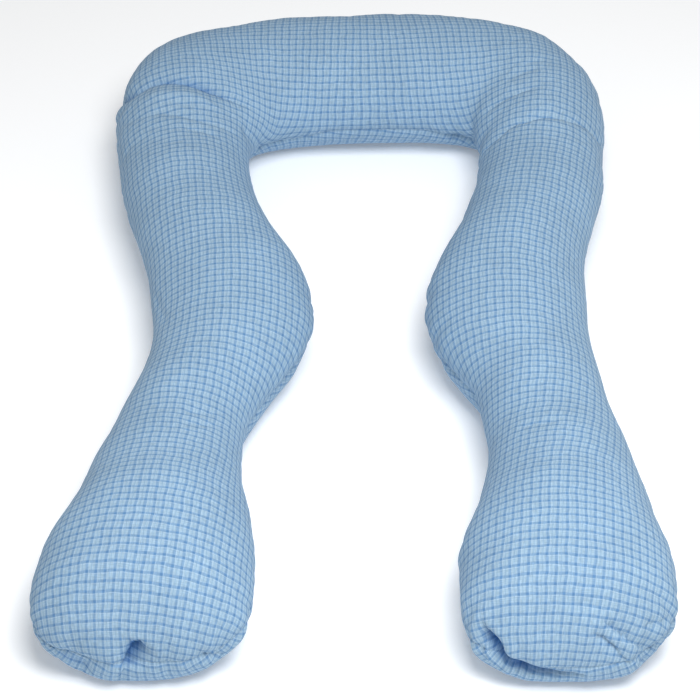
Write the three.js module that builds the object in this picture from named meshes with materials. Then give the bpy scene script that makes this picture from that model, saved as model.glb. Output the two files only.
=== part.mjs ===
// A U-shaped body pillow in checked cotton, filled with fibre, lying flat on a surface.
// A thick head bar lies at +Y. Two legs run from it towards -Y, bulge towards each other at
// mid length, narrow to a neck and end in round feet. Millimetres, +Z up, origin on the
// surface under the middle of the outline.

import * as THREE from 'three';

// Driving sizes of the section.
const SEAM_HEIGHT = 88;        // of the seam line between the top and bottom panels
const UNDERSIDE_SAG = 12;      // how far the filling presses past the surface: makes the flat
const SEAM_TUCK = 6;           // how deep the seam draws in
const SEAM_TUCK_WIDTH = 20;    // along the section, at half depth

// Driving sizes of the round foot ends. length is from the last rib of the leg to the tip, and
// sway is how far the tip stands towards +X of that rib's middle.
const LEFT_FOOT = { length: 94, sway: -6 };
const RIGHT_FOOT = { length: 100, sway: -9 };
const FOOT_PLAN_POWER = 2.9;   // blunt seen from above
const FOOT_SIDE_POWER = 2.2;   // rounder seen from the side
const FOOT_SEAM_DROP = 30;     // the seam runs lower round the tip

// How finely the ribs and the section are divided.
const RIBS_PER_LEG_ROW = 3;
const RIBS_PER_CORNER_ROW = 3;
const RIBS_PER_BAR_ROW = 3;
const RIBS_PER_FOOT = 7;
const POINTS_ROUND = 36;

// Ribs across the left leg from the foot to the shoulder: the two seams and the crest's height.
const LEFT_LEG = [
  { outer: [-438, -680], inner: [-139, -680], crest: 176 },
  { outer: [-431, -610], inner: [-136, -610], crest: 188 },
  { outer: [-404, -535], inner: [-145, -535], crest: 192 },
  { outer: [-384, -440], inner: [-160, -440], crest: 184 },
  { outer: [-357, -340], inner: [-160, -340], crest: 174 },
  { outer: [-332, -240], inner: [-124, -240], crest: 168 },
  { outer: [-314, -140], inner: [-73, -140], crest: 166 },
  { outer: [-321, -40], inner: [-62, -40], crest: 170 },
  { outer: [-333, 60], inner: [-88, 60], crest: 175 },
  { outer: [-360, 160], inner: [-132, 160], crest: 178 },
  { outer: [-384, 255], inner: [-161, 255], crest: 178 },
  { outer: [-394, 335], inner: [-177, 335], crest: 175 },
];

// Ribs that fan round the left inner corner, from the leg to the bar.
const LEFT_CORNER = [
  { outer: [-402, 415], inner: [-176, 393], crest: 174 },
  { outer: [-412, 490], inner: [-168, 420], crest: 180 },
  { outer: [-413, 570], inner: [-157, 437], crest: 186 },
  { outer: [-393, 645], inner: [-145, 448], crest: 188 },
  { outer: [-323, 695], inner: [-129, 457], crest: 190 },
  { outer: [-228, 726], inner: [-106, 468], crest: 191 },
  { outer: [-135, 758], inner: [-75, 473], crest: 191 },
];

// Ribs across the head bar.
const BAR = [
  { outer: [-40, 764], inner: [-30, 479], crest: 191 },
  { outer: [50, 773], inner: [50, 481], crest: 191 },
  { outer: [130, 770], inner: [112, 481], crest: 191 },
];

// Ribs that fan round the right inner corner, from the bar to the leg.
const RIGHT_CORNER = [
  { outer: [210, 758], inner: [152, 479], crest: 191 },
  { outer: [287, 730], inner: [183, 476], crest: 191 },
  { outer: [353, 692], inner: [202, 464], crest: 190 },
  { outer: [408, 636], inner: [211, 446], crest: 188 },
  { outer: [430, 558], inner: [214, 425], crest: 186 },
  { outer: [437, 490], inner: [215, 404], crest: 182 },
  { outer: [432, 415], inner: [212, 375], crest: 177 },
];

// Ribs across the right leg from the shoulder to the foot.
const RIGHT_LEG = [
  { outer: [424, 335], inner: [208, 335], crest: 176 },
  { outer: [414, 255], inner: [195, 255], crest: 178 },
  { outer: [388, 160], inner: [168, 160], crest: 178 },
  { outer: [371, 60], inner: [133, 60], crest: 175 },
  { outer: [366, -40], inner: [107, -40], crest: 170 },
  { outer: [366, -140], inner: [122, -140], crest: 166 },
  { outer: [376, -240], inner: [174, -240], crest: 168 },
  { outer: [388, -340], inner: [188, -340], crest: 174 },
  { outer: [407, -440], inner: [184, -440], crest: 184 },
  { outer: [420, -535], inner: [161, -535], crest: 192 },
  { outer: [434, -610], inner: [142, -610], crest: 188 },
  { outer: [432, -680], inner: [139, -680], crest: 176 },
];

// Soft folds on the top and sides, seen from above: each runs from one point through a second
// to a third. depth is how far the trough goes in, and width is its width at half depth.
const SHOULDER_FOLDS = [
  { from: [-415, 475], through: [-270, 468], to: [-165, 398], width: 34, depth: 18 },
  { from: [-410, 445], through: [-290, 381], to: [-185, 342], width: 30, depth: 8 },
  { from: [440, 430], through: [325, 352], to: [215, 340], width: 34, depth: 13 },
  { from: [205, 402], through: [250, 430], to: [295, 466], width: 24, depth: 5 },
];
const FOOT_FOLDS = [
  { from: [-285, -735], through: [-297, -760], to: [-312, -785], width: 26, depth: 12 },
  { from: [180, -715], through: [200, -745], to: [245, -780], width: 26, depth: 12 },
  { from: [335, -745], through: [360, -750], to: [395, -745], width: 20, depth: 4 },
];
const FOLDS = [...SHOULDER_FOLDS, ...FOOT_FOLDS];
const FOLD_SAMPLES = 16;       // straight steps along a fold, to measure the distance to it

// A rib's values between rows i and i + 1 of a table, on a smooth curve through the rows.
function smooth(rows, i, part, read) {
  const at = (k) => read(rows[Math.min(Math.max(k, 0), rows.length - 1)]);
  const [before, start, end, after] = [at(i - 1), at(i), at(i + 1), at(i + 2)];
  const slopeIn = (end - before) / 2;
  const slopeOut = (after - start) / 2;
  const rest = 1 - part;
  return start * (1 + 2 * part) * rest * rest + end * (3 - 2 * part) * part * part
    + slopeIn * part * rest * rest - slopeOut * rest * part * part;
}

// One rib: its two seam points, its crest and its seam height.
function ribBetween(rows, i, part) {
  const value = (read) => smooth(rows, i, part, read);
  return {
    outer: new THREE.Vector2(value((row) => row.outer[0]), value((row) => row.outer[1])),
    inner: new THREE.Vector2(value((row) => row.inner[0]), value((row) => row.inner[1])),
    crest: value((row) => row.crest),
    seam: SEAM_HEIGHT,
  };
}

// All ribs of the legs, corners and bar in order, as finely divided as each table asks.
function bodyRibs() {
  const groups = [
    [LEFT_LEG, RIBS_PER_LEG_ROW], [LEFT_CORNER, RIBS_PER_CORNER_ROW], [BAR, RIBS_PER_BAR_ROW],
    [RIGHT_CORNER, RIBS_PER_CORNER_ROW], [RIGHT_LEG, RIBS_PER_LEG_ROW],
  ];
  const rows = groups.flatMap(([table]) => table);
  const steps = groups.flatMap(([table, count]) => table.map(() => count));
  const ribs = [];
  for (let i = 0; i < rows.length - 1; i += 1) {
    for (let k = 0; k < steps[i]; k += 1) {
      ribs.push(ribBetween(rows, i, k / steps[i]));
    }
  }
  ribs.push(ribBetween(rows, rows.length - 2, 1));
  return ribs;
}

// The ribs of a foot, from its leg's last rib to just before the tip: they shrink to nothing.
function footRibs(legEnd, foot) {
  const middle = legEnd.outer.clone().add(legEnd.inner).multiplyScalar(0.5);
  const ribs = [];
  for (let k = 1; k < RIBS_PER_FOOT; k += 1) {
    const out = Math.sin((k / RIBS_PER_FOOT) * Math.PI / 2);
    const wide = (1 - out ** FOOT_PLAN_POWER) ** (1 / FOOT_PLAN_POWER);
    const high = (1 - out ** FOOT_SIDE_POWER) ** (1 / FOOT_SIDE_POWER);
    const shift = new THREE.Vector2(foot.sway * out * out, -foot.length * out);
    const seam = legEnd.seam - FOOT_SEAM_DROP * out * out;
    ribs.push({
      outer: middle.clone().lerp(legEnd.outer, wide).add(shift),
      inner: middle.clone().lerp(legEnd.inner, wide).add(shift),
      crest: seam + (legEnd.crest - legEnd.seam) * high,
      seam,
      low: high,
    });
  }
  const tip = new THREE.Vector3(
    middle.x + foot.sway, middle.y - foot.length, legEnd.seam - FOOT_SEAM_DROP);
  return { ribs, tip };
}

// Points along a fold seen from above, on the curve through its three points.
function foldPath({ from, through, to }) {
  const start = new THREE.Vector2(...from);
  const end = new THREE.Vector2(...to);
  const control = new THREE.Vector2(...through).multiplyScalar(2)
    .addScaledVector(start, -0.5).addScaledVector(end, -0.5);
  return new THREE.QuadraticBezierCurve(start, control, end).getPoints(FOLD_SAMPLES);
}

const FOLD_PATHS = FOLDS.map((fold) => ({ ...fold, path: foldPath(fold) }));

// How deep the folds press the cloth in at a point seen from above.
function foldDepth(x, y) {
  let total = 0;
  for (const { path, width, depth } of FOLD_PATHS) {
    let nearest = Infinity;
    for (let k = 0; k < path.length - 1; k += 1) {
      const along = path[k + 1].clone().sub(path[k]);
      const offset = new THREE.Vector2(x, y).sub(path[k]);
      const part = THREE.MathUtils.clamp(offset.dot(along) / along.lengthSq(), 0, 1);
      nearest = Math.min(nearest, offset.addScaledVector(along, -part).length());
    }
    total += depth * Math.exp(-Math.LN2 * (2 * nearest / width) ** 2);
  }
  return total;
}

// The points round one rib: over the top from the inner seam to the outer, and back below.
function sectionPoints(rib) {
  const middle = rib.outer.clone().add(rib.inner).multiplyScalar(0.5);
  const half = rib.outer.clone().sub(rib.inner).multiplyScalar(0.5);
  const halfWidth = half.length();
  const points = [];
  for (let k = 0; k < POINTS_ROUND; k += 1) {
    const angle = (k / POINTS_ROUND) * 2 * Math.PI;
    const across = -Math.cos(angle);
    const up = Math.sin(angle);
    const reach = up > 0 ? rib.crest - rib.seam : (rib.seam + UNDERSIDE_SAG) * (rib.low ?? 1);
    const toSeam = Math.hypot(halfWidth * (1 - Math.abs(across)), reach * up);
    const tuck = SEAM_TUCK * Math.exp(-Math.LN2 * (2 * toSeam / SEAM_TUCK_WIDTH) ** 2);
    const x = middle.x + half.x * across;
    const y = middle.y + half.y * across;
    const pressed = tuck + foldDepth(x, y) * THREE.MathUtils.clamp(0.5 + up, 0, 1);
    const distance = Math.hypot(halfWidth * across, reach * up);
    const keep = 1 - Math.min(pressed / Math.max(distance, 1), 0.5);
    const z = Math.max(rib.seam + reach * up * keep, 0);
    points.push([middle.x + half.x * across * keep, middle.y + half.y * across * keep, z]);
  }
  return points;
}

// The closed skin of the pillow: a strip of faces between each two ribs and a fan at each tip.
function pillowGeometry() {
  const body = bodyRibs();
  const leftFoot = footRibs(body[0], LEFT_FOOT);
  const rightFoot = footRibs(body[body.length - 1], RIGHT_FOOT);
  const ribs = [...leftFoot.ribs.reverse(), ...body, ...rightFoot.ribs];
  const corners = ribs.flatMap(sectionPoints).flat();
  const leftTip = ribs.length * POINTS_ROUND;
  const rightTip = leftTip + 1;
  corners.push(...leftFoot.tip.toArray(), ...rightFoot.tip.toArray());
  const faces = [];
  for (let k = 0; k < POINTS_ROUND; k += 1) {
    const next = (k + 1) % POINTS_ROUND;
    for (let i = 0; i < ribs.length - 1; i += 1) {
      const [a, b] = [i * POINTS_ROUND + k, i * POINTS_ROUND + next];
      const [c, d] = [a + POINTS_ROUND, b + POINTS_ROUND];
      faces.push(a, d, b, a, c, d);
    }
    const last = (ribs.length - 1) * POINTS_ROUND;
    faces.push(leftTip, k, next, rightTip, last + next, last + k);
  }
  const geometry = new THREE.BufferGeometry();
  geometry.setAttribute('position', new THREE.Float32BufferAttribute(corners, 3));
  geometry.setIndex(faces);
  geometry.computeBoundingBox();
  const centre = geometry.boundingBox.getCenter(new THREE.Vector3());
  geometry.translate(-centre.x, -centre.y, 0);
  geometry.computeVertexNormals();
  return geometry;
}

const checkedCotton = new THREE.MeshStandardMaterial({
  name: 'checked cotton',
  color: 0xc3d6e6,
  roughness: 0.9,
  metalness: 0,
});

const pillow = new THREE.Mesh(pillowGeometry(), checkedCotton);
pillow.name = 'pillow';

const part = new THREE.Group();
part.add(pillow);

export default part;
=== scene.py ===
"""A full-body U-shaped pillow in checked cotton, sewn from two panels, filled and laid flat."""

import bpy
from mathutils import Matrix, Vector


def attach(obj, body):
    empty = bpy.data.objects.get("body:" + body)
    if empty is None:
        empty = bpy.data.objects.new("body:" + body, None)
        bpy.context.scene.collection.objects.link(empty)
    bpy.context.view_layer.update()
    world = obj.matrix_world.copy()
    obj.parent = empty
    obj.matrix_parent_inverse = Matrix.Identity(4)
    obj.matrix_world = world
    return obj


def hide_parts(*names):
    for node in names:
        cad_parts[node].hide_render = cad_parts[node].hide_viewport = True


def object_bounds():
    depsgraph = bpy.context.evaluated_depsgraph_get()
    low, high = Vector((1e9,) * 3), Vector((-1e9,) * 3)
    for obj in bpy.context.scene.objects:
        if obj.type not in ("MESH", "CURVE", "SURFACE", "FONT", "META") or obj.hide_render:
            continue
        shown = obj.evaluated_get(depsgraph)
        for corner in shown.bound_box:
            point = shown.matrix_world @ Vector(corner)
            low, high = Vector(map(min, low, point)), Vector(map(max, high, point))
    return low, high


bl_info = {
    "name": "U-shaped pillow",
    "version": (1, 0, 0),
    "blender": (4, 5, 0),
    "location": "3D View > Sidebar > Pillow",
    "description": "Sews, fills and lights a U-shaped body pillow in checked cotton",
    "category": "Add Mesh",
}

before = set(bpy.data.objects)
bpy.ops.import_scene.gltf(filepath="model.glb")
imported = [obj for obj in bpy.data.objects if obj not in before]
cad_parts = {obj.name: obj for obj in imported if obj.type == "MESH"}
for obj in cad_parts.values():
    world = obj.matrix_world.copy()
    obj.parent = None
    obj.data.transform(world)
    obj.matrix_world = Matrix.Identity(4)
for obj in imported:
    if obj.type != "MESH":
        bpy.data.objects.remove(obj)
CAD_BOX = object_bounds()

import math
from collections import namedtuple

import bpy
import numpy as np
from bpy.props import FloatProperty, FloatVectorProperty, IntProperty, PointerProperty
from mathutils import Vector

MM = 0.001

# How many parts a crease is split into, each of which is pressed in one direction.
CREASE_PARTS = 12
# How much shade is painted into the cloth's colour in a crease: its depth over the range below, less
# the start below, so that the first seven millimetres are only a dent and from 25 mm it is fully shaded.
FOLD_SHADE_RANGE = 18 * MM
FOLD_SHADE_START = 0.4
# Painted shade: what a full-depth crease multiplies the cloth's colour by, in linear red, green, blue
# and alpha.
FOLD_SHADE_COLOUR = (0.20, 0.47, 0.84, 1.0)
# Over this distance from the stitches the groove along the seam gets two thirds shallower.
GROOVE_WIDTH = 3.5 * MM
# Size of the swellings in the filling, and of the random shake that starts the simulation.
SWELLING_SIZE = 160 * MM
START_SHAKE = 0.25 * MM
# Gathers along the seam, least and most in millimetres: their spacing, depth, width and reach
# into the panel, and how far they may lean to a side for each step away from the seam.
GATHER_SPACING = (22, 46)
GATHER_DEPTH = (2.5, 6.5)
GATHER_WIDTH = (7, 15)
GATHER_REACH = (18, 45)
GATHER_LEAN = 0.35

# Ribs across the pillow in millimetres, from the left foot over the bar to the right foot:
# the two seam points, the crest's height over the floor, and how many degrees the cloth's
# grain is turned there, anticlockwise seen from above.
Rib = namedtuple("Rib", "outer_x outer_y inner_x inner_y crest grain")
LEFT_LEG = [
    Rib(-441, -680, -133, -680, 193, -4.0),
    Rib(-432, -610, -132, -610, 202, -4.0),
    Rib(-404, -535, -145, -535, 198, -2.5),
    Rib(-384, -440, -160, -440, 177, -2.5),
    Rib(-357, -340, -160, -340, 163, -2.5),
    Rib(-332, -240, -124, -240, 163, -2.0),
    Rib(-314, -140, -73, -140, 166, -0.5),
    Rib(-321, -40, -62, -40, 172, 2.5),
    Rib(-336, 60, -88, 60, 176, 4.5),
    Rib(-364, 160, -132, 160, 175, 5.0),
    Rib(-390, 255, -161, 255, 173, 6.0),
    Rib(-401, 335, -177, 335, 170, 6.0),
]
LEFT_CORNER = [
    Rib(-412, 415, -176, 393, 174, 5.0),
    Rib(-421, 490, -168, 420, 180, 4.0),
    Rib(-409, 570, -157, 437, 186, 3.0),
    Rib(-384, 639, -145, 447, 188, 2.5),
    Rib(-323, 695, -129, 457, 190, 2.0),
    Rib(-228, 726, -106, 468, 191, 2.0),
    Rib(-135, 758, -75, 473, 191, 2.0),
]
BAR = [
    Rib(-40, 764, -30, 479, 191, 2.0),
    Rib(50, 773, 50, 481, 191, 2.0),
    Rib(130, 770, 112, 481, 191, 2.0),
]
RIGHT_CORNER = [
    Rib(210, 758, 152, 479, 191, 1.5),
    Rib(287, 730, 183, 476, 191, 1.0),
    Rib(353, 692, 202, 464, 190, 0.0),
    Rib(402, 628, 206, 440, 188, -1.5),
    Rib(431, 558, 210, 421, 186, -3.0),
    Rib(437, 490, 215, 404, 182, -4.5),
    Rib(432, 415, 212, 375, 177, -6.0),
]
RIGHT_LEG = [
    Rib(424, 335, 208, 335, 170, -7.0),
    Rib(416, 255, 195, 255, 173, -8.0),
    Rib(391, 160, 166, 160, 178, -8.0),
    Rib(371, 60, 133, 60, 180, -8.0),
    Rib(366, -40, 107, -40, 176, -3.5),
    Rib(366, -140, 122, -140, 169, -1.5),
    Rib(376, -240, 174, -240, 164, -3.5),
    Rib(388, -340, 188, -340, 165, -8.5),
    Rib(407, -440, 184, -440, 180, -10.5),
    Rib(420, -535, 161, -535, 198, -6.0),
    Rib(437, -610, 139, -610, 202, -4.5),
    Rib(438, -680, 136, -680, 193, -3.0),
]
RIBS = LEFT_LEG + LEFT_CORNER + BAR + RIGHT_CORNER + RIGHT_LEG

# The round ends: from the last rib to the tip, and how far the tip stands towards +X of it.
Foot = namedtuple("Foot", "length sway")
LEFT_FOOT = Foot(94, -6)
RIGHT_FOOT = Foot(100, -9)

# Creases in the cloth, in millimetres: the points that each runs through, how deep it is pressed
# in, how wide its floor is, how far its slopes reach to its left and to its right, the share of
# its depth at its start and its end, and how far the cloth on its left laps over it, or with a
# minus on its right. A negative depth is a ridge.
Crease = namedtuple("Crease", "points depth floor left right ends lap")
CREASES = [
    # Left shoulder
    Crease([(-410, 512, 112), (-400, 490, 136), (-377, 480, 152), (-340, 483, 172),
            (-309, 479, 180), (-276, 470, 182), (-240, 457, 175), (-211, 451, 162),
            (-184, 452, 145)], 17, 5, 16, 11, (1.0, 0.3), -3),
    Crease([(-395, 445, 125), (-345, 440, 164), (-300, 435, 178), (-255, 425, 178),
            (-215, 412, 155)], -6, 0, 16, 16, (0.3, 0.0), 0),
    Crease([(-402, 423, 100), (-396, 417, 115), (-374, 400, 142), (-353, 395, 158), (-327, 393, 169),
            (-293, 384, 174), (-256, 376, 170), (-219, 375, 153), (-200, 377, 137)],
           6, 1, 11, 8, (0.6, 0.2), -1),
    Crease([(-296, 352, 172), (-275, 348, 172), (-247, 345, 165), (-221, 336, 153)],
           4, 0, 9, 8, (0.0, 0.0), 0),
    Crease([(-196, 400, 130), (-185, 410, 118), (-174, 424, 91), (-160, 464, 50)],
           7, 2, 12, 12, (0.0, 0.6), 0),
    # Right shoulder
    Crease([(221, 356, 124), (238, 357, 145), (264, 368, 164), (291, 370, 173), (316, 375, 176),
            (345, 375, 172), (371, 374, 162), (402, 376, 142), (417, 378, 123)],
           9, 1, 13, 7, (0.5, 0.8), -3),
    Crease([(227, 440, 133), (238, 442, 148), (266, 447, 169), (297, 453, 180), (318, 457, 182)],
           7, 1, 11, 8, (0.3, 0.0), -2),
    Crease([(261, 484, 172), (271, 493, 177), (299, 505, 185), (329, 513, 185)],
           4, 0, 10, 8, (0.0, 0.0), 0),
    Crease([(208, 450, 110), (209, 465, 80), (210, 478, 50)], 7, 2, 12, 12, (0.2, 0.6), 0),
    # Where both seams turn into the inner corners
    Crease([(-184, 448, 62), (-164, 472, 56), (-147, 479, 56), (-120, 477, 60)],
           18, 3, 8, 7, (0.1, 0.0), 0),
    Crease([(158, 490, 62), (178, 496, 58), (196, 494, 56), (208, 476, 56)],
           18, 3, 8, 7, (0.0, 0.1), 0),
    # Left foot
    Crease([(-285, -759, 104), (-291, -762, 96), (-298, -764, 87), (-310, -761, 61),
            (-313, -757, 48)], 28, 9, 17, 4, (0.0, 0.55), -5),
    Crease([(-204, -758, 78), (-194, -750, 65), (-181, -746, 57)], 10, 2, 5, 8, (0.2, 0.8), 3),
    Crease([(-369, -759, 51), (-343, -763, 51), (-321, -763, 52)], 6, 1, 8, 5, (0.0, 0.0), 0),
    Crease([(-411, -741, 65), (-397, -752, 58), (-383, -757, 48), (-359, -761, 39),
            (-333, -764, 33)], 11, 8, 24, 24, (0.0, 0.0), 0),
    # Right foot
    Crease([(172, -734, 119), (174, -745, 103), (183, -757, 88), (197, -762, 70),
            (223, -768, 54), (269, -772, 43), (304, -772, 41)], 32, 15, 3, 7, (0.1, 0.2), 4),
    Crease([(306, -758, 120), (320, -763, 110), (330, -765, 103), (342, -769, 90),
            (354, -767, 75)], 12, 2, 5, 12, (0.0, 0.6), 2),
    Crease([(319, -750, 135), (330, -756, 122), (337, -759, 115), (355, -761, 100),
            (376, -761, 82)], 14, 2, 12, 5, (0.0, 0.6), -3),
    Crease([(376, -750, 113), (387, -744, 114), (409, -730, 109)], 7, 1, 6, 9, (0.0, 0.8), 2),
    Crease([(362, -726, 153), (384, -723, 143), (405, -722, 125)], 5, 0, 8, 7, (0.0, 0.5), 0),
    Crease([(273, -741, 149), (299, -743, 146), (330, -744, 141), (347, -750, 126)],
           6, 1, 9, 7, (0.0, 0.3), 0),
    Crease([(370, -757, 32), (388, -750, 40), (400, -749, 57), (409, -741, 67),
            (417, -728, 77)], 9, 8, 24, 24, (0.1, 0.1), 0),
    # Legs
    Crease([(-314, -35, 114), (-302, -84, 124), (-285, -148, 141)], 4, 0, 9, 8, (0.0, 0.0), 0),
    Crease([(-250, -371, 165), (-221, -368, 157), (-191, -346, 141)], 4, 0, 9, 8, (0.0, 0.3), 0),
    Crease([(-254, -404, 170), (-223, -400, 162), (-196, -381, 146)], 4, 0, 9, 8, (0.0, 0.3), 0),
    Crease([(237, -403, 162), (271, -409, 174), (298, -400, 173)], 4, 0, 10, 9, (0.3, 0.0), 0),
]


def hex_values(colour):
    """An sRGB hex colour as three values from 0 to 1, as a colour field shows it."""
    return tuple(int(colour[i:i + 2], 16) / 255 for i in (1, 3, 5))


class PillowSizes(bpy.types.PropertyGroup):
    seam_height: FloatProperty(
        name="Seam height", description="Height of the seam over the floor",
        default=88 * MM, unit="LENGTH")
    sag: FloatProperty(
        name="Sag", description="How far the filling presses past the floor, which makes the flat",
        default=12 * MM, unit="LENGTH")
    turn_under: FloatProperty(
        name="Turn under", description="How soon the lower half turns under: 1 is round, more is sooner",
        default=1.25, min=1.0, max=2.0)
    seam_tuck: FloatProperty(
        name="Seam tuck", description="How deep the seam draws in",
        default=6 * MM, unit="LENGTH")
    seam_tuck_width: FloatProperty(
        name="Seam tuck width", description="Width of the drawn-in strip at half depth",
        default=20 * MM, unit="LENGTH")
    inner_seam_under: FloatProperty(
        name="Inner seam under", description="How far under the widest place the inner seam lies",
        default=math.radians(13), unit="ROTATION")
    corner_seam_under: FloatProperty(
        name="Corner seam under", description="How much further it lies under at the inner corners",
        default=math.radians(17), unit="ROTATION")
    outer_seam_under: FloatProperty(
        name="Outer seam under", description="How far under the widest place the outer seam lies",
        default=math.radians(10), unit="ROTATION")
    foot_power: FloatProperty(
        name="Foot bluntness", description="Power of the foot's outline: 2 is round, more is blunter",
        default=2.9, min=2.0, max=6.0)
    corner_room: FloatProperty(
        name="Corner room", description="How much longer the cloth is cut round a corner",
        default=1.3, min=1.0, max=2.0)
    cut_foot_power: FloatProperty(
        name="Cut foot bluntness", description="The same power for the flat cut panel",
        default=2.3, min=2.0, max=6.0)
    foot_seam_drop: FloatProperty(
        name="Foot seam drop", description="How far the seam runs lower round the tip",
        default=30 * MM, unit="LENGTH")
    pitch: FloatProperty(
        name="Mesh pitch", description="Distance between ribs along the crest",
        default=6.5 * MM, unit="LENGTH")
    panel_strips: IntProperty(
        name="Panel strips", description="Strips across each panel, from seam to seam",
        default=48, min=8, max=96)
    foot_ribs: IntProperty(
        name="Foot ribs", description="Ribs from the end of a leg to its tip",
        default=26, min=4, max=48)
    seam_groove: FloatProperty(
        name="Seam groove", description="Depth of the narrow groove at the stitches",
        default=2.5 * MM, unit="LENGTH")
    unevenness: FloatProperty(
        name="Unevenness", description="How much the filling swells and sinks from place to place",
        default=1.5 * MM, unit="LENGTH")
    frames: IntProperty(
        name="Filling frames", description="Frames of the cloth simulation that fills the cover",
        default=12, min=2, max=60)
    pressure: FloatProperty(
        name="Pressure", description="How hard the filling presses against the cloth",
        default=3.0)
    filling_hold: FloatProperty(
        name="Filling hold", description="How firmly the filling keeps the cloth where it lies",
        default=0.05, min=0.0, max=1.0)
    point_mass: FloatProperty(
        name="Point mass", description="Mass that the simulation gives each point of the cloth",
        default=0.01, min=0.001)
    bending: FloatProperty(
        name="Bending stiffness", description="How stiff the cloth is when it is bent",
        default=0.05, min=0.0)
    ease: FloatProperty(
        name="Ease", description="How much larger than the filled shape the cloth was cut",
        default=1.0)
    form_share: FloatProperty(
        name="Form share", description="How much of the broad swelling of the simulation is kept",
        default=0.3, min=0.0, max=1.0)


class ClothLook(bpy.types.PropertyGroup):
    check_across: FloatProperty(
        name="Check across", description="Width of a cell of the check",
        default=12.5 * MM, unit="LENGTH")
    check_along: FloatProperty(
        name="Check along", description="Length of a cell of the check",
        default=13.0 * MM, unit="LENGTH")
    stripe: FloatProperty(
        name="Stripe", description="Width of a blue stripe",
        default=3.9 * MM, unit="LENGTH")
    ground: FloatVectorProperty(
        name="Ground", description="Pale blue of the cloth between the stripes",
        default=hex_values("#9ab6cb"), min=0, max=1, subtype="COLOR_GAMMA")
    stripe_colour: FloatVectorProperty(
        name="Stripe colour", description="Mid blue of a single stripe",
        default=hex_values("#7c9dbe"), min=0, max=1, subtype="COLOR_GAMMA")
    crossing_colour: FloatVectorProperty(
        name="Crossing colour", description="Darker blue where two stripes cross",
        default=hex_values("#5d86b1"), min=0, max=1, subtype="COLOR_GAMMA")
    pale_thread: FloatVectorProperty(
        name="Pale thread", description="Near-white threads beside each stripe",
        default=hex_values("#bcd2e2"), min=0, max=1, subtype="COLOR_GAMMA")
    bottom_turn: FloatProperty(
        name="Bottom panel turn", description="How far the bottom panel was cut off the grain",
        default=math.radians(-8), unit="ROTATION")


class StageLook(bpy.types.PropertyGroup):
    elevation: FloatProperty(
        name="Camera elevation", description="How far the camera looks down",
        default=math.radians(39), unit="ROTATION")
    camera_height: FloatProperty(
        name="Camera height", description="Height of the lens over the floor",
        default=2.289, unit="LENGTH")
    camera_back: FloatProperty(
        name="Camera distance", description="From the middle of the pillow back to the lens, level",
        default=2.854, unit="LENGTH")
    camera_side: FloatProperty(
        name="Camera side", description="How far the lens stands to the right of the middle",
        default=-6 * MM, unit="LENGTH")
    lens: FloatProperty(
        name="Lens", description="Focal length on a 36 mm sensor, in millimetres",
        default=117.5)
    floor_size: FloatProperty(
        name="Floor size", description="Side of the square floor",
        default=12.0, unit="LENGTH")
    floor_colour: FloatVectorProperty(
        name="Floor colour", description="Near-white of the acrylic sheet",
        default=hex_values("#f8f9fa"), min=0, max=1, subtype="COLOR_GAMMA")
    floor_glow: FloatProperty(
        name="Floor glow", description="Light that comes up through the sheet",
        default=0.16, min=0.0)
    key_place: FloatVectorProperty(
        name="Key light place", description="Where the soft box hangs",
        default=(0.45, -1.4, 2.7), subtype="TRANSLATION", unit="LENGTH")
    key_size: FloatProperty(
        name="Key light size", description="Side of the square soft box",
        default=1.4, unit="LENGTH")
    key_power: FloatProperty(
        name="Key light power", description="Power of the soft box",
        default=83.0, unit="POWER")
    room_light: FloatProperty(
        name="Room light", description="Strength of the even light from all round",
        default=0.38, min=0.0)


def deselect_all():
    """Clear the selection, because an operator acts on all of it."""
    for obj in bpy.context.selected_objects:
        obj.select_set(False)


def between_ribs(rows, at):
    """Values on a smooth curve through the rows, at places counted in rows."""
    start_row = np.clip(np.floor(at).astype(int), 0, len(rows) - 2)
    part = (at - start_row)[:, None]
    rest = 1 - part

    def row(k):
        return rows[np.clip(start_row + k, 0, len(rows) - 1)]

    slope_in = (row(1) - row(-1)) / 2
    slope_out = (row(2) - row(0)) / 2
    return (row(0) * (1 + 2 * part) * rest ** 2 + row(1) * (3 - 2 * part) * part ** 2
            + slope_in * part * rest ** 2 - slope_out * rest * part ** 2)


def length_along(points):
    """How far along a line each of its points lies, from its first."""
    step = np.linalg.norm(np.diff(points, axis=0), axis=1)
    return np.concatenate([[0], np.cumsum(step)])


def even_ribs(pitch):
    """The ribs of legs, corners and bar, about one pitch apart along the crest."""
    rows = np.array(RIBS, dtype=float)
    rows[:, :5] *= MM
    fine = np.linspace(0, len(rows) - 1, 40 * len(rows))
    values = between_ribs(rows, fine)
    crest_line = (values[:, 0:2] + values[:, 2:4]) / 2
    outer_line = values[:, 0:2]
    step = np.maximum(np.linalg.norm(np.diff(crest_line, axis=0), axis=1),
                      0.8 * np.linalg.norm(np.diff(outer_line, axis=0), axis=1))
    length = np.concatenate([[0], np.cumsum(step)])
    count = int(round(length[-1] / pitch))
    return between_ribs(rows, np.interp(np.linspace(0, length[-1], count + 1), length, fine))


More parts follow.
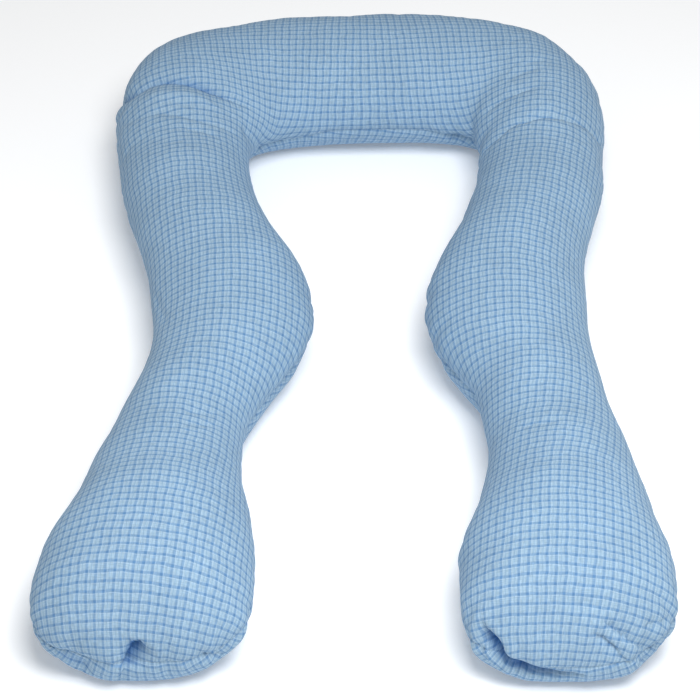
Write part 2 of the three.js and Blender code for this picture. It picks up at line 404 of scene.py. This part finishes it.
def row_points(rib, foot, forward, sizes, fall=0.0, under=(0.0, 0.0)):
    """A ring of points round one row: over the top from the inner seam to the outer, then back.

    forward is 0 on a leg's last rib and 1 at the foot's tip, fall is how steeply the crest
    already goes down at that rib, and under is how far below the widest place each seam lies,
    as an angle."""
    strips = sizes.panel_strips
    inner_under, outer_under = under
    top_angles = np.linspace(-inner_under, math.pi + outer_under, strips + 1)
    bottom_angles = np.linspace(math.pi + outer_under, 2 * math.pi - inner_under, strips + 1)[1:-1]
    angle = np.concatenate([top_angles, bottom_angles])
    across = -np.cos(angle)
    outer, inner = rib[0:2], rib[2:4]
    middle, half = (outer + inner) / 2, (outer - inner) / 2
    power = sizes.foot_power
    side = across * (1 - forward ** power / 2) ** (1 / power)
    front = forward * (1 - np.abs(across) ** power / 2) ** (1 / power)
    edge = (np.abs(side) ** power + front ** power) ** (2 / power)
    rise = np.sqrt(np.clip(1 - edge, 0, 1))
    seam = sizes.seam_height - sizes.foot_seam_drop * front ** 2
    top = seam + (rib[4] - sizes.seam_height - fall * foot.length * MM * front) * rise
    bottom = np.maximum(seam - (sizes.seam_height + sizes.sag) * rise ** sizes.turn_under, 0)
    plan = middle + half * side[:, None]
    plan[:, 0] += foot.sway * MM * front ** 2
    plan[:, 1] -= foot.length * MM * front
    height = np.where(np.sin(angle) >= -1e-9, top, bottom)
    points = np.column_stack([plan, height])
    if forward > 0:
        reach = np.linalg.norm(half)
        return points, np.hypot(reach * (1 - np.sqrt(edge)), height - seam)
    length = length_along(np.concatenate([points, points[:1]]))
    from_seam = np.minimum(length, np.minimum(np.abs(length - length[strips]), length[-1] - length))
    return points, from_seam[:-1]


def arc_from_middle(points):
    """Signed length along a line of points, from its middle point."""
    length = length_along(points)
    return length - length[len(points) // 2]


def turned(vectors, angle):
    """Flat vectors turned anticlockwise."""
    c, s = np.cos(angle), np.sin(angle)
    return np.stack([c * vectors[..., 0] - s * vectors[..., 1],
                     s * vectors[..., 0] + c * vectors[..., 1]], axis=-1)


def running_mean(values, window):
    """Each value averaged with its neighbours; the end values stand in past the ends."""
    padded = np.pad(values, window // 2, mode="edge")
    return np.convolve(padded, np.ones(window) / window, "valid")


def shape_rows(sizes):
    """All rows of the filled pillow, from the left tip to the right tip."""
    body = even_ribs(sizes.pitch)
    forward = np.sin(np.arange(1, sizes.foot_ribs + 1) / sizes.foot_ribs * math.pi / 2)

    def fall_at(end, before):
        return (before[4] - end[4]) / abs(before[1] - end[1])

    left_fall = fall_at(body[0], body[2])
    right_fall = fall_at(body[-1], body[-3])
    left = [row_points(body[0], LEFT_FOOT, v, sizes, left_fall) for v in forward[::-1]]
    # Over the first 150 mm of each leg the seam sinks from its height on the foot.
    from_foot = np.minimum(np.arange(len(body)), np.arange(len(body))[::-1]) * sizes.pitch
    lower = np.clip(from_foot / (150 * MM), 0, 1)
    lower = lower * lower * (3 - 2 * lower)
    across = body[:, 0:2] - body[:, 2:4]
    heading = np.unwrap(np.arctan2(across[:, 1], across[:, 0]))
    turn = np.convolve(np.abs(np.gradient(heading)), np.ones(15) / 15, "same")
    corner = sizes.corner_seam_under * (turn / turn.max()) ** 3
    inner_under = sizes.inner_seam_under * lower + corner
    outer_under = sizes.outer_seam_under * lower
    middle = [row_points(rib, LEFT_FOOT, 0.0, sizes, under=under)
              for rib, under in zip(body, zip(inner_under, outer_under))]
    right = [row_points(body[-1], RIGHT_FOOT, v, sizes, right_fall) for v in forward]
    rows = left + middle + right
    rings = np.array([points for points, _ in rows])
    from_seam = np.array([distance for _, distance in rows])
    return body, rings, from_seam


def panel_of(rings, strips, bottom=False):
    """The points of one panel, each row from its inner seam to its outer seam."""
    if bottom:
        return np.concatenate([rings[:, strips:], rings[:, :1]], axis=1)[:, ::-1]
    return rings[:, :strips + 1]


def panel_cut(body, panel, sizes, straight=False):
    """Where each point of one panel lies on the flat cloth.

    straight leaves out the turns of the grain, which came when the pillow was laid down."""
    strips = sizes.panel_strips
    feet = sizes.foot_ribs
    crest = panel[:, strips // 2]
    along = body[:, 0:2] - body[:, 2:4]
    along /= np.linalg.norm(along, axis=1)[:, None]
    grain = np.radians(body[:, 5]) * (0 if straight else 1)
    rib_line = turned(along, -grain)
    heading = np.unwrap(np.arctan2(rib_line[:, 1], rib_line[:, 0]))
    for _ in range(2):
        heading = running_mean(heading, 31)
    rib_line = np.column_stack([np.cos(heading), np.sin(heading)])
    legs = slice(feet, feet + len(body))
    step = np.diff(crest[legs], axis=0)
    level = np.linalg.norm(step[:, :2], axis=1)
    stretch = np.linalg.norm(step, axis=1) / np.maximum(level, 1e-9)
    step = turned(step[:, :2] * stretch[:, None], -(grain[1:] + grain[:-1]) / 2)
    arcs = np.array([arc_from_middle(row) for row in panel[legs]])
    # Round a corner the cloth is cut longer, so that the ribs never cross on it.
    spacing = np.linalg.norm(step, axis=1)
    spacing = np.append(spacing, spacing[-1])
    longer = np.maximum(1, sizes.corner_room * np.abs(np.gradient(heading)) * -arcs[:, 0] / spacing)
    for _ in range(12):
        longer = np.maximum(longer, running_mean(longer, 5))
    step *= ((longer[1:] + longer[:-1]) / 2)[:, None]
    centre = crest[feet, :2] + np.concatenate([[[0, 0]], np.cumsum(step, axis=0)])
    flat = np.zeros(panel.shape[:2] + (2,))
    flat[legs] = centre[:, None] + arcs[:, :, None] * rib_line[:, None]
    power = sizes.cut_foot_power
    for end, toward in ((0, -1), (len(body) - 1, 1)):
        row = feet + end
        tips = [row + toward * k for k in range(feet + 1)]
        length = length_along(crest[tips])
        ahead = turned(np.array([0.0, -1.0]), -grain[end])
        share = np.where(arcs[end] < 0, arcs[end] / -arcs[end, 0], arcs[end] / arcs[end, -1])
        reach = np.where(arcs[end] < 0, -arcs[end, 0], arcs[end, -1])
        for k, place in enumerate(tips):
            if k == 0:
                continue
            forward = length[k] / length[-1]
            side = share * reach * (1 - forward ** power / 2) ** (1 / power)
            front = forward * length[-1] * (1 - np.abs(share) ** power / 2) ** (1 / power)
            flat[place] = centre[end] + side[:, None] * rib_line[end] + front[:, None] * ahead
    return flat


def eased_cut(flat, panel, hold, rounds=500, gather=1.0):
    """Slide the points of a flat panel until the cloth is as little strained as it can be.

    hold is 1 where a row of the cloth stays and 0 where it is free. gather is how strongly the
    cloth resists being pushed together, against 1 for being stretched."""
    here, there = slice(None, -1), slice(1, None)
    every = slice(None)
    links = []
    for a, b, stiff in (((here, every), (there, every), 1.0), ((every, here), (every, there), 1.0),
                        ((here, here), (there, there), 0.4), ((here, there), (there, here), 0.4)):
        links.append((a, b, stiff, np.linalg.norm(panel[b] - panel[a], axis=-1)))
    free = (1 - hold)[:, None, None]
    count = np.zeros(flat.shape[:2])
    for a, b, stiff, _ in links:
        count[a] += stiff
        count[b] += stiff
    flat = flat.copy()
    last = np.zeros_like(flat)
    for _ in range(rounds):
        move = np.zeros_like(flat)
        for a, b, stiff, length in links:
            gap = flat[b] - flat[a]
            now = np.maximum(np.linalg.norm(gap, axis=-1), 1e-9)
            resist = np.where(now > length, gather, 1.0)
            pull = (stiff * 0.5 * resist * (now - length) / now)[..., None] * gap
            move[a] += pull
            move[b] -= pull
        step = free * move / count[..., None] + 0.9 * last
        flat += step
        last = step
    return flat


def creased(points, normals):
    """How each point moves where the creases press the cloth in and lap it over, and a share
    from 0 to 1 of how deep in a crease it ends up, which sets the shade painted into its colour."""
    moved = np.zeros(points.shape)
    fold = np.zeros(len(points))
    for crease in CREASES:
        marks = np.array(crease.points, dtype=float) * MM
        line = between_ribs(marks, np.linspace(0, len(marks) - 1, 8 * (len(marks) - 1) + 1))
        reach = 5 * max(crease.left, crease.right) * MM
        low = line.min(axis=0) - reach
        high = line.max(axis=0) + reach
        near = np.nonzero(((points > low) & (points < high)).all(axis=1))[0]
        spot = points[near]
        nearest = np.full(len(near), np.inf)
        place = np.zeros(len(near))
        to_left = np.zeros(spot.shape)
        is_left = np.zeros(len(near), dtype=bool)
        for step, (a, b) in enumerate(zip(line[:-1], line[1:])):
            along = b - a
            part = np.clip((spot - a) @ along / (along @ along), 0, 1)
            gap = spot - a - part[:, None] * along
            distance = np.linalg.norm(gap, axis=1)
            closer = distance < nearest
            left = np.cross(normals[near], along / np.linalg.norm(along))
            nearest = np.where(closer, distance, nearest)
            to_left = np.where(closer[:, None], left, to_left)
            is_left = np.where(closer, (gap * left).sum(axis=1) > 0, is_left)
            place = np.where(closer, (step + part) / (len(line) - 1), place)
        # Across its width a crease is pressed in one direction, so that its sides never cross.
        part_of = np.minimum((place * CREASE_PARTS).astype(int), CREASE_PARTS - 1)
        weight = np.exp(-nearest / (12 * MM))[:, None] * normals[near]
        facing = np.array([weight[np.abs(part_of - number) <= 1].sum(axis=0) + 1e-12
                           for number in range(CREASE_PARTS)])
        facing /= np.linalg.norm(facing, axis=1)[:, None]
        middles = (np.arange(CREASE_PARTS) + 0.5) / CREASE_PARTS
        facing = np.column_stack([np.interp(place, middles, facing[:, axis]) for axis in range(3)])
        share = np.interp(place, [0, 0.3, 0.7, 1], [crease.ends[0], 1, 1, crease.ends[1]])
        width = np.where(is_left, crease.left, crease.right) * (0.4 + 0.6 * share) * MM
        slope = np.maximum(nearest - crease.floor / 2 * share * MM, 0) / width
        depth = crease.depth * MM * share * np.exp(-slope - (slope ** 2 - slope) * (crease.depth < 0))
        # The deeper a point lies in the crease, the more shade is painted into the cloth's colour there.
        fold[near] = np.maximum(fold[near], depth / FOLD_SHADE_RANGE - FOLD_SHADE_START)
        laps = is_left if crease.lap > 0 else ~is_left
        # The lap dies away over about 16 mm and has ended 45 mm off.
        soft = np.exp(-nearest / (16 * MM)) * np.clip(1 - nearest / (45 * MM), 0, 1)
        lap = np.where(laps, crease.lap, 0) * MM * share * soft
        depth = np.where(laps, depth * (1 - min(abs(crease.lap) / 12, 0.8)), depth)
        moved[near] -= facing * depth[:, None] + to_left * lap[:, None]
    return moved, fold


def lumps(points, random, size, count=24):
    """A smooth uneven field between about -1 and 1, for filling that lies unevenly."""
    directions = random.normal(size=(count, 3))
    directions *= (random.uniform(0.6, 1.4, count) / np.linalg.norm(directions, axis=1))[:, None]
    waves = points @ directions.T * (2 * math.pi / size) + random.uniform(0, 2 * math.pi, count)
    return np.cos(waves).sum(axis=1) / math.sqrt(count)


def puckers(cover, random):
    """How deep the gathers along the seam press in, on rows and rings.

    They are deepest where the seam turns outwards: round the feet, the legs' bulges and the
    outer corners."""
    strips = cover.sizes.panel_strips
    rings, away = cover.rings, cover.from_seam
    seam = np.concatenate([rings[0, :strips], rings[:, strips],
                           rings[-1, strips:0:-1], rings[::-1, 0]])
    step = np.linalg.norm(np.diff(seam, axis=0, append=seam[:1]), axis=1)
    seam = seam[step > 1e-6]
    step = step[step > 1e-6]
    length = np.cumsum(step)
    ahead = np.roll(seam, -6, axis=0)[:, :2] - seam[:, :2]
    behind = seam[:, :2] - np.roll(seam, 6, axis=0)[:, :2]
    turn = ahead[:, 0] * behind[:, 1] - ahead[:, 1] * behind[:, 0]
    turn /= np.linalg.norm(ahead, axis=1) * np.linalg.norm(behind, axis=1)
    bend = turn / (np.linalg.norm(ahead + behind, axis=1) / 2)
    total = np.zeros(away.shape)
    at = 0.0
    while at < length[-1]:
        at += random.uniform(*GATHER_SPACING) * MM
        k = int(np.searchsorted(length, at)) % len(seam)
        # Full strength where the seam turns outwards on a 100 mm radius, and else down to a trace.
        strength = np.clip(bend[k] * 0.10, 0.06, 1)
        depth = strength * random.uniform(*GATHER_DEPTH) * MM
        width = random.uniform(*GATHER_WIDTH) * MM
        reach = random.uniform(*GATHER_REACH) * MM
        lean = random.uniform(-GATHER_LEAN, GATHER_LEAN)
        line = ahead[k] / np.linalg.norm(ahead[k])
        gap = rings[..., :2] - seam[k, :2]
        along = gap @ line - lean * away
        off = np.linalg.norm(gap, axis=-1) > 100 * MM
        shape = np.exp(-(along / width) ** 2) * (0.45 + away / (9 * MM)) * np.exp(-away / reach * 1.6)
        total += np.where(off, 0, depth * shape)
    return total


class Cover:
    """The two sewn panels as one closed skin: rows from foot to foot, each a ring of points."""

    def __init__(self, sizes):
        self.sizes = sizes
        self.body, self.rings, self.from_seam = shape_rows(sizes)
        rows, around = self.rings.shape[:2]
        strips = sizes.panel_strips
        self.index = np.arange(rows * around).reshape(rows, around)
        # At both tips the bottom panel ends on the top panel's points.
        for tip in (0, -1):
            self.index[tip, strips + 1:] = self.index[tip, 1:strips][::-1]
        used, flat = np.unique(self.index, return_inverse=True)
        self.index = flat.reshape(rows, around)
        self.first = used
        self.points = self.on_points(self.rings)
        self.seam_distance = self.on_points(self.from_seam)
        self.face_corners = [
            [(i, k), (i + 1, k), (i + 1, (k + 1) % around), (i, (k + 1) % around)]
            for i in range(rows - 1) for k in range(around)]
        self.faces = [[int(self.index[c]) for c in corners] for corners in self.face_corners]

    def on_rings(self, values):
        """Values of the points, on rows and rings."""
        return values[self.index]

    def on_points(self, field):
        """A field on rows and rings, on the points."""
        return field.reshape(-1, *field.shape[2:])[self.first]


def smoothed(field, times):
    """A field on rows and rings, blurred along both."""
    for _ in range(times):
        around = (np.roll(field, 1, axis=1) + np.roll(field, -1, axis=1) + 2 * field) / 4
        padded = np.pad(around, ((1, 1), (0, 0), (0, 0)), mode="edge")
        field = (padded[:-2] + padded[2:] + 2 * around) / 4
    return field


def new_mesh_object(name, points, faces):
    mesh = bpy.data.meshes.new(name)
    mesh.from_pydata(points.tolist(), [], faces)
    mesh.update()
    obj = bpy.data.objects.new(name, mesh)
    bpy.context.scene.collection.objects.link(obj)
    return obj


def vertex_normals(obj):
    """The outward direction at each point of the mesh."""
    normals = np.zeros(3 * len(obj.data.vertices))
    obj.data.vertex_normals.foreach_get("vector", normals)
    return normals.reshape(-1, 3)


def set_points(obj, points):
    obj.data.vertices.foreach_set("co", points.reshape(-1))
    obj.data.update()


def fill_cover(cover, sizes):
    """Press the filling against the two flat-cut panels and return the cover's points.

    The cloth was cut flat, so round the feet and the corners there is more of it at the seam
    than the filled shape needs, and there it puckers."""
    scene = bpy.context.scene
    strips = sizes.panel_strips
    top = panel_of(cover.rings, strips)
    # The cut of the legs stays, and that of the corners and the bar is free from 0.3 m up.
    crest = top[:, strips // 2]
    hold = np.clip((0.30 - crest[:, 1]) / 0.08, 0, 1)
    flat = eased_cut(panel_cut(cover.body, top, sizes, straight=True), top, hold)
    rest = np.zeros(cover.rings.shape)
    rest[:, :strips + 1, :2] = flat
    rest[:, strips + 1:, :2] = flat[:, 1:strips][:, ::-1]
    # The two flat panels lie a few millimetres apart between their seams.
    lens = 1 - np.linspace(-1, 1, strips + 1) ** 2
    rest[:, :strips + 1, 2] = 2 * MM * lens
    rest[:, strips + 1:, 2] = -2 * MM * lens[1:strips]
    rest = cover.on_points(rest) * sizes.ease
    random = np.random.default_rng(7)
    start = cover.points + random.normal(0, START_SHAKE, cover.points.shape)
    work = new_mesh_object("filling_work", start, cover.faces)
    work.shape_key_add(name="Laid out")
    cut = work.shape_key_add(name="Cut")
    cut.data.foreach_set("co", rest.reshape(-1))
    held = work.vertex_groups.new(name="Held")
    on_floor = cover.points[:, 2] < 12 * MM
    held.add(np.nonzero(on_floor)[0].tolist(), 1.0, "REPLACE")
    held.add(np.nonzero(~on_floor)[0].tolist(), sizes.filling_hold, "REPLACE")
    cloth = work.modifiers.new("Filling", "CLOTH")
    cloth.collision_settings.use_collision = False
    cloth.point_cache.frame_end = sizes.frames
    settings = cloth.settings
    settings.quality = 5
    settings.use_pressure = True
    settings.uniform_pressure_force = sizes.pressure
    settings.vertex_group_mass = held.name
    settings.bending_stiffness = sizes.bending
    settings.mass = sizes.point_mass
    settings.rest_shape_key = cut
    settings.effector_weights.gravity = 0
    for step in range(1, sizes.frames + 1):
        scene.frame_set(step)
    done = work.evaluated_get(bpy.context.evaluated_depsgraph_get())
    filled = np.zeros(3 * len(done.data.vertices))
    done.data.vertices.foreach_get("co", filled)
    filled = filled.reshape(-1, 3)
    mesh = work.data
    bpy.data.objects.remove(work)
    bpy.data.meshes.remove(mesh)
    scene.frame_set(1)
    # The fine wrinkles are kept whole, and a share of the broad swelling.
    moved = cover.on_rings(filled - cover.points)
    broad = smoothed(moved, 40)
    fine = moved - broad
    return cover.points + cover.on_points(broad * sizes.form_share + fine)


class PILLOW_OT_cover(bpy.types.Operator):
    """Sew the two panels, fill them and lay the pillow down"""
    bl_idname = "pillow.cover"
    bl_label = "Pillow cover"

    def execute(self, context):
        sizes = context.scene.pillow_sizes
        random = np.random.default_rng(21)
        cover = Cover(sizes)
        obj = new_mesh_object("pillow_cover", cover.points, cover.faces)
        inward = -vertex_normals(obj)
        tuck = sizes.seam_tuck * np.exp(
            -math.log(2) * (2 * cover.seam_distance / sizes.seam_tuck_width) ** 2)
        gathers = cover.on_points(puckers(cover, random))
        uneven = sizes.unevenness * lumps(cover.points, random, SWELLING_SIZE)
        off_floor = np.clip(cover.points[:, 2] / (15 * MM), 0, 1)
        cover.points = cover.points + inward * ((tuck + gathers + uneven) * off_floor)[:, None]
        cover.points = fill_cover(cover, sizes)
        set_points(obj, cover.points)
        self.lay_cloth_map(obj, cover, sizes, context.scene.cloth_look)
        obj.data.materials.append(checked_cotton(context.scene.cloth_look))
        seam_line = obj.data.attributes.new("seam_distance", "FLOAT", "POINT")
        seam_line.data.foreach_set("value", cover.seam_distance)
        subdivide = obj.modifiers.new("Finer cloth", "SUBSURF")
        subdivide.levels = subdivide.render_levels = 1
        context.view_layer.objects.active = obj
        deselect_all()
        obj.select_set(True)
        bpy.ops.object.modifier_apply(modifier=subdivide.name)
        bpy.ops.object.shade_smooth()
        self.press_creases(obj, sizes)
        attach(obj, "root")
        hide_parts("pillow")
        return {"FINISHED"}

    def press_creases(self, obj, sizes):
        """Press in the main creases and the seam, and set the pillow down in its place."""
        count = len(obj.data.vertices)
        points = np.zeros(3 * count)
        obj.data.vertices.foreach_get("co", points)
        points = points.reshape(-1, 3)
        normals = vertex_normals(obj)
        seam_distance = np.zeros(count)
        obj.data.attributes["seam_distance"].data.foreach_get("value", seam_distance)
        seam = sizes.seam_groove * np.exp(-seam_distance / GROOVE_WIDTH)
        moved, fold = creased(points, normals)
        points += moved - normals * seam[:, None]
        # Kept on the mesh for the material, which paints shade into the creases by it.
        in_fold = obj.data.attributes.new("fold_depth", "FLOAT", "POINT")
        in_fold.data.foreach_set("value", np.clip(fold, 0, 1))
        points[:, 2] = np.maximum(points[:, 2], 0)
        low, high = points.min(axis=0), points.max(axis=0)
        cad_low, cad_high = np.array(CAD_BOX[0]), np.array(CAD_BOX[1])
        shift = (cad_low + cad_high - low - high) / 2
        shift[2] = 0
        set_points(obj, points + shift)

    def lay_cloth_map(self, obj, cover, sizes, look):
        """Write where each face's corners lie on the flat cloth, in metres."""
        strips = sizes.panel_strips
        # The map is eased on the feet alone, fading out over the next twelve ribs.
        row = np.arange(len(cover.rings))
        hold = np.clip((np.minimum(row, row[::-1]) - sizes.foot_ribs) / 12, 0, 1)
        panels = []
        for bottom in (False, True):
            panel = panel_of(cover.rings, strips, bottom)
            flat = panel_cut(cover.body, panel, sizes)
            panels.append(eased_cut(flat, panel, hold, gather=0.15))
        top, bottom = panels
        bottom = turned(bottom, look.bottom_turn)
        uv = obj.data.uv_layers.new(name="Cloth")
        values = []
        for corners in cover.face_corners:
            on_top = corners[0][1] < strips
            for i, k in corners:
                if on_top:
                    values.append(top[i, k])
                else:
                    values.append(bottom[i, 2 * strips - k if k else 0])
        uv.data.foreach_set("uv", np.array(values).reshape(-1))


def linear(colour):
    """Three sRGB values as the linear values that the shader works in, and full alpha."""
    return [v / 12.92 if v <= 0.04045 else ((v + 0.055) / 1.055) ** 2.4 for v in colour] + [1.0]


def add_node(tree, kind, settings=None, inputs=None):
    """Add a node with its settings, and set or link its inputs."""
    node = tree.nodes.new(kind)
    for name, value in (settings or {}).items():
        setattr(node, name, value)
    for socket, value in (inputs or {}).items():
        if isinstance(value, bpy.types.NodeSocket):
            tree.links.new(value, node.inputs[socket])
        else:
            node.inputs[socket].default_value = value
    return node


def checked_cotton(look):
    """Yarn-dyed cotton in plain weave: matt, with soft-edged stripes that darken where they cross, and
    with shade painted into the deep creases.
    """
    material = bpy.data.materials.new("Checked cotton")
    material.use_nodes = True
    tree = material.node_tree
    tree.nodes.clear()
    cloth = add_node(tree, "ShaderNodeUVMap", {"uv_map": "Cloth"})
    # Threads wander by about a millimetre, so no stripe is ruler-straight.
    wander = add_node(tree, "ShaderNodeTexNoise", {"noise_dimensions": "2D"},
                      {"Vector": cloth.outputs[0], "Scale": 30.0, "Detail": 3.0})
    centred = add_node(tree, "ShaderNodeVectorMath", {"operation": "SUBTRACT"},
                       {0: wander.outputs["Color"], 1: (0.5, 0.5, 0.5)})
    moved = add_node(tree, "ShaderNodeVectorMath", {"operation": "MULTIPLY_ADD"},
                     {0: centred.outputs[0], 1: (4.5 * MM,) * 3, 2: cloth.outputs[0]})
    place = add_node(tree, "ShaderNodeSeparateXYZ", None, {0: moved.outputs[0]})

    def maths(kind, *values):
        node = add_node(tree, "ShaderNodeMath", {"operation": kind}, dict(enumerate(values)))
        return node.outputs[0]

    def band(coordinate, pitch, centre, width, soft):
        """1 on a stripe of this width at every pitch, 0 off it, with a soft edge."""
        away = maths("PINGPONG", maths("SUBTRACT", coordinate, centre), pitch / 2)
        return add_node(
            tree, "ShaderNodeMapRange", {"interpolation_type": "SMOOTHSTEP"},
            {"Value": away, "From Min": width / 2 - soft, "From Max": width / 2 + soft,
             "To Min": 1.0, "To Max": 0.0}).outputs[0]

    def blend(kind, share, under, over):
        """Lay one colour over another."""
        node = add_node(tree, "ShaderNodeMix", {"data_type": "RGBA", "blend_type": kind},
                        {0: share, 6: under, 7: over})
        return node.outputs[2]

    def uneven(noise, low, high):
        """A noise as a tone that goes from low to high."""
        return add_node(tree, "ShaderNodeMapRange", None,
                        {"Value": noise.outputs[0], "From Min": 0.3, "From Max": 0.7,
                         "To Min": low, "To Max": high}).outputs[0]

    # One stripe in each cell along both thread directions, with near-white threads on one side.
    warp = band(place.outputs[0], look.check_across, 0.0, look.stripe, 1.0 * MM)
    weft = band(place.outputs[1], look.check_along, 0.0, look.stripe, 1.0 * MM)
    beside = look.stripe / 2 + 0.9 * MM
    pale_warp = band(place.outputs[0], look.check_across, beside, 0.9 * MM, 0.3 * MM)
    pale_weft = band(place.outputs[1], look.check_along, -beside, 0.9 * MM, 0.3 * MM)
    # A faint blue line runs halfway between the stripes of one thread direction.
    middle = band(place.outputs[0], look.check_across, look.check_across / 2, 1.4 * MM, 0.4 * MM)
    colour = blend("MIX", maths("MAXIMUM", warp, weft), linear(look.ground), linear(look.stripe_colour))
    colour = blend("MIX", maths("MULTIPLY", warp, weft), colour, linear(look.crossing_colour))
    colour = blend("MIX", maths("MULTIPLY", maths("MAXIMUM", pale_warp, pale_weft), 0.3),
                   colour, linear(look.pale_thread))
    faint = maths("MULTIPLY", middle, maths("MULTIPLY_ADD", weft, 0.35, 0.5))
    colour = blend("MIX", faint, colour, linear(look.stripe_colour))
    # Yarn is never quite even: short slubs run along both thread directions.
    for stretch in ((700, 90, 1), (90, 700, 1)):
        along = add_node(tree, "ShaderNodeVectorMath", {"operation": "MULTIPLY"},
                         {0: cloth.outputs[0], 1: stretch})
        slub = add_node(tree, "ShaderNodeTexNoise", {"noise_dimensions": "2D"},
                        {"Vector": along.outputs[0], "Scale": 1.0, "Detail": 1.0})
        colour = blend("MULTIPLY", 1.0, colour, uneven(slub, 0.92, 1.06))
    # Dye and handling leave broad, very faint lighter and darker places.
    cloudy = add_node(tree, "ShaderNodeTexNoise", None,
                      {"Vector": cloth.outputs[0], "Scale": 14.0, "Detail": 2.0})
    colour = blend("MULTIPLY", 1.0, colour, uneven(cloudy, 0.96, 1.04))
    # Painted shade: deep in a crease the colour is made darker and bluer, as the cloth there is lit by
    # its own blue alone.
    fold = add_node(tree, "ShaderNodeAttribute", {"attribute_name": "fold_depth"})
    colour = blend("MULTIPLY", fold.outputs["Fac"], colour, FOLD_SHADE_COLOUR)
    # Plain weave: threads about 0.4 mm apart, drawn at 0.9 mm so that they show close up.
    thread = 2 * math.pi / (0.9 * MM)
    over = [maths("SINE", maths("MULTIPLY", place.outputs[axis], thread)) for axis in (0, 1)]
    weave = add_node(tree, "ShaderNodeBump", None,
                     {"Strength": 0.35, "Distance": 0.12 * MM, "Height": maths("MULTIPLY", *over)})
    # Washed cotton keeps a fine crinkle, a centimetre or two across.
    crinkle = add_node(tree, "ShaderNodeTexNoise", {"noise_dimensions": "2D"},
                       {"Vector": cloth.outputs[0], "Scale": 70.0, "Detail": 3.0, "Roughness": 0.5})
    surface_bump = add_node(tree, "ShaderNodeBump", None,
                            {"Strength": 0.5, "Distance": 1.6 * MM, "Height": crinkle.outputs[0],
                             "Normal": weave.outputs[0]})
    surface = add_node(tree, "ShaderNodeBsdfPrincipled", None, {
        "Base Color": colour, "Roughness": 0.85, "IOR": 1.46, "Specular IOR Level": 0.2,
        "Sheen Weight": 0.03, "Sheen Roughness": 0.4, "Normal": surface_bump.outputs[0]})
    add_node(tree, "ShaderNodeOutputMaterial", None, {"Surface": surface.outputs[0]})
    return material


def lit_acrylic(look):
    """Opal acrylic sheet, lit from below: matt and even, and white to its far end."""
    material = bpy.data.materials.new("Lit white acrylic sheet")
    material.use_nodes = True
    surface = material.node_tree.nodes["Principled BSDF"]
    surface.inputs["Base Color"].default_value = linear(look.floor_colour)
    surface.inputs["Roughness"].default_value = 0.9
    surface.inputs["Emission Color"].default_value = (1, 1, 1, 1)
    surface.inputs["Emission Strength"].default_value = look.floor_glow
    return material


def area_light(name, place, target, size, power):
    bpy.ops.object.light_add(type="AREA", location=place)
    light = bpy.context.object
    light.name = name
    light.data.size = size
    light.data.energy = power
    light.rotation_euler = (Vector(target) - Vector(place)).to_track_quat("-Z", "Y").to_euler()


class PILLOW_OT_stage(bpy.types.Operator):
    """Set the floor, the soft lights and the camera"""
    bl_idname = "pillow.stage"
    bl_label = "Floor, lights and camera"

    def execute(self, context):
        look = context.scene.stage_look
        deselect_all()
        bpy.ops.mesh.primitive_plane_add(size=look.floor_size, location=(0, 0, 0))
        floor = context.object
        floor.name = "floor"
        floor.data.materials.append(lit_acrylic(look))
        area_light("Key light", look.key_place, (0, 0, 0), look.key_size, look.key_power)
        world = bpy.data.worlds.new("Soft white room")
        world.use_nodes = True
        background = world.node_tree.nodes["Background"]
        background.inputs["Color"].default_value = (1, 1, 1, 1)
        background.inputs["Strength"].default_value = look.room_light
        context.scene.world = world
        bpy.ops.object.camera_add(
            location=(look.camera_side, -look.camera_back, look.camera_height),
            rotation=(math.pi / 2 - look.elevation, 0, 0))
        camera = context.object
        camera.name = "Camera"
        camera.data.sensor_width = 36
        camera.data.lens = look.lens
        context.scene.camera = camera
        context.scene.view_settings.view_transform = "Standard"
        return {"FINISHED"}


class PILLOW_PT_panel(bpy.types.Panel):
    """The pillow's sizes and steps in the sidebar"""
    bl_idname = "PILLOW_PT_panel"
    bl_label = "U-shaped pillow"
    bl_space_type = "VIEW_3D"
    bl_region_type = "UI"
    bl_category = "Pillow"

    def draw(self, context):
        for group in (context.scene.pillow_sizes, context.scene.cloth_look, context.scene.stage_look):
            for name in group.__annotations__:
                self.layout.prop(group, name)
        self.layout.operator(PILLOW_OT_cover.bl_idname)
        self.layout.operator(PILLOW_OT_stage.bl_idname)


CLASSES = (PillowSizes, ClothLook, StageLook, PILLOW_OT_cover, PILLOW_OT_stage, PILLOW_PT_panel)


def register():
    for cls in CLASSES:
        bpy.utils.register_class(cls)
    bpy.types.Scene.pillow_sizes = PointerProperty(type=PillowSizes)
    bpy.types.Scene.cloth_look = PointerProperty(type=ClothLook)
    bpy.types.Scene.stage_look = PointerProperty(type=StageLook)


def unregister():
    del bpy.types.Scene.stage_look
    del bpy.types.Scene.cloth_look
    del bpy.types.Scene.pillow_sizes
    for cls in reversed(CLASSES):
        bpy.utils.unregister_class(cls)


def main():
    register()
    bpy.ops.pillow.cover()
    bpy.ops.pillow.stage()


if __name__ == "__main__":
    main()
